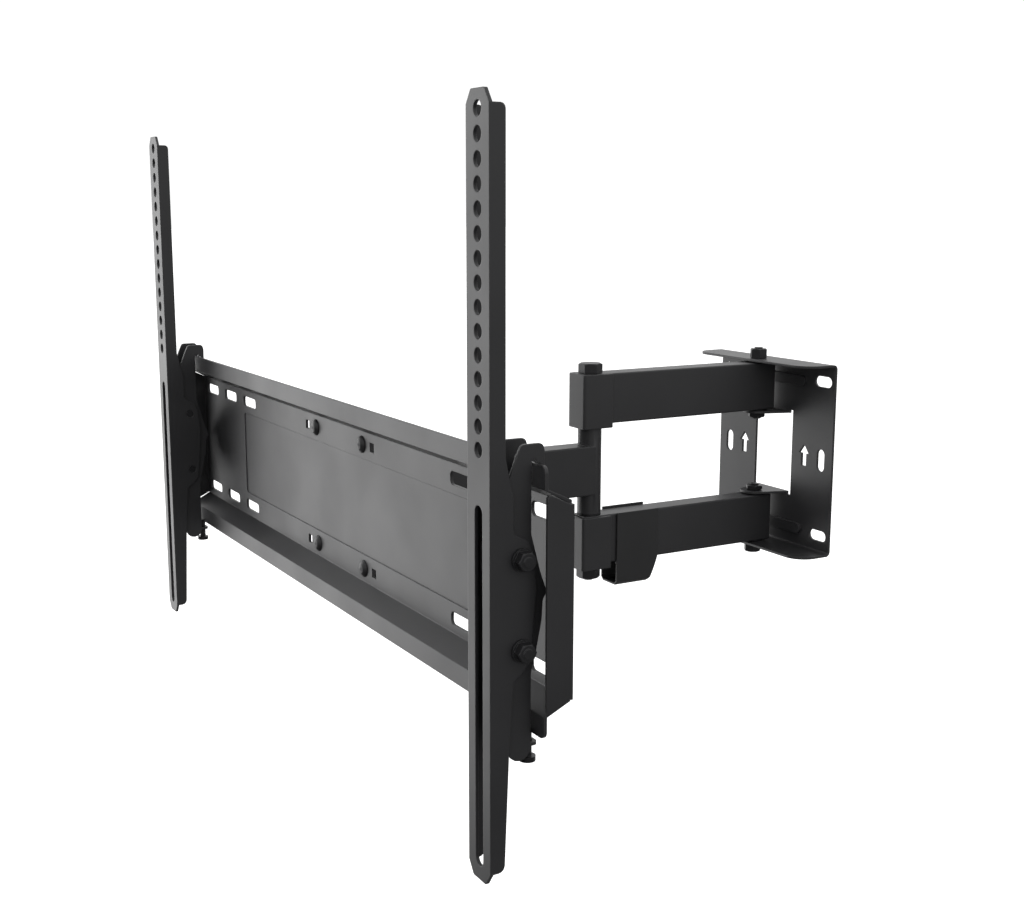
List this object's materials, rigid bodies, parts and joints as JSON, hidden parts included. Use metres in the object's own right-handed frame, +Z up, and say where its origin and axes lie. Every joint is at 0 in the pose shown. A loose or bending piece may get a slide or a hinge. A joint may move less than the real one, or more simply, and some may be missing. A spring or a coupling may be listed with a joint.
{
  "type": "full motion tv wall mount",
  "caption": "Articulated wall mount: a wall plate, rear arms, a front arm and a swivel head carrying a wide cross plate with hooked, tilting upright rails.",
  "frame": {"origin": "on the wall plate's back face, on its upper band, 47 mm above the arms' middle plane", "axes": "+Y into the wall, +X along the wall and along the cross plate, +Z up"},
  "size_m": [0.645, 0.4584, 0.4284],
  "materials": {
    "black_steel": "satin black powder coat",
    "black_bolt": "black zinc",
    "black_nylon": "moulded nylon",
    "black_plastic": "moulded, fine grain"
  },
  "bodies": {
    "wall_bracket": {"wall_plate": "black_steel", "upper_pivot_bolt": "black_bolt", "upper_pivot_nut": "black_bolt", "upper_outer_washer": "black_nylon", "upper_inner_washer": "black_nylon", "lower_pivot_bolt": "black_bolt", "lower_pivot_nut": "black_bolt", "lower_outer_washer": "black_nylon", "lower_inner_washer": "black_nylon"},
    "rear_arms": {"upper_arm": "black_steel", "lower_arm": "black_steel", "upper_elbow_strap": "black_steel", "lower_elbow_strap": "black_steel", "elbow_bolt": "black_bolt", "elbow_nut": "black_bolt", "elbow_spacer": "black_bolt", "upper_elbow_washer": "black_nylon", "lower_elbow_washer": "black_nylon", "cable_clip": "black_plastic"},
    "front_link": {"front_arm": "black_steel"},
    "head": {"head_clevis": "black_steel", "head_bolt": "black_bolt", "head_nut": "black_bolt", "upper_head_washer": "black_nylon", "lower_head_washer": "black_nylon", "cross_plate": "black_steel", "plate_bolt_1": "black_bolt", "plate_bolt_2": "black_bolt", "plate_bolt_3": "black_bolt", "plate_bolt_4": "black_bolt", "plate_nut_1": "black_bolt", "plate_nut_2": "black_bolt", "plate_nut_3": "black_bolt", "plate_nut_4": "black_bolt"},
    "left_bracket": {"left_hook_bracket": "black_steel"},
    "left_screw": {"left_safety_screw": "black_bolt"},
    "left_upright": {"left_rail": "black_steel", "left_tilt_pivot_bolt": "black_bolt", "left_tilt_lock_bolt": "black_bolt"},
    "right_bracket": {"right_hook_bracket": "black_steel"},
    "right_screw": {"right_safety_screw": "black_bolt"},
    "right_upright": {"right_rail": "black_steel", "right_tilt_pivot_bolt": "black_bolt", "right_tilt_lock_bolt": "black_bolt"}
  },
  "joints": [
    {"name": "wall_swing", "type": "hinge", "parent": "wall_bracket", "child": "rear_arms", "pos_m": [0, -0.0223, -0.047], "axis": [0, 0, 1], "range_deg": [-90, 90]},
    {"name": "elbow", "type": "hinge", "parent": "rear_arms", "child": "front_link", "pos_m": [0, -0.1952, -0.047], "axis": [0, 0, -1], "range_deg": [-145, 145]},
    {"name": "head_swivel", "type": "hinge", "parent": "front_link", "child": "head", "pos_m": [0, -0.3681, -0.047], "axis": [0, 0, 1], "range_deg": [-90, 90]},
    {"name": "left_bracket_slide", "type": "slide", "parent": "head", "child": "left_bracket", "axis": [1, 0, 0], "range_m": [-0.005, 0.2]},
    {"name": "right_bracket_slide", "type": "slide", "parent": "head", "child": "right_bracket", "axis": [-1, 0, 0], "range_m": [-0.005, 0.2]},
    {"name": "left_tilt", "type": "hinge", "parent": "left_bracket", "child": "left_upright", "pos_m": [-0.3, -0.439, -0.0723], "axis": [1, 0, 0], "range_deg": [-3, 10]},
    {"name": "right_tilt", "type": "hinge", "parent": "right_bracket", "child": "right_upright", "pos_m": [0.3, -0.439, -0.0723], "axis": [1, 0, 0], "range_deg": [-3, 10]},
    {"name": "left_screw_travel", "type": "slide", "parent": "left_bracket", "child": "left_screw", "axis": [0, 0, 1], "range_m": [-0.006, 0]},
    {"name": "right_screw_travel", "type": "slide", "parent": "right_bracket", "child": "right_screw", "axis": [0, 0, 1], "range_m": [-0.006, 0]}
  ]
}
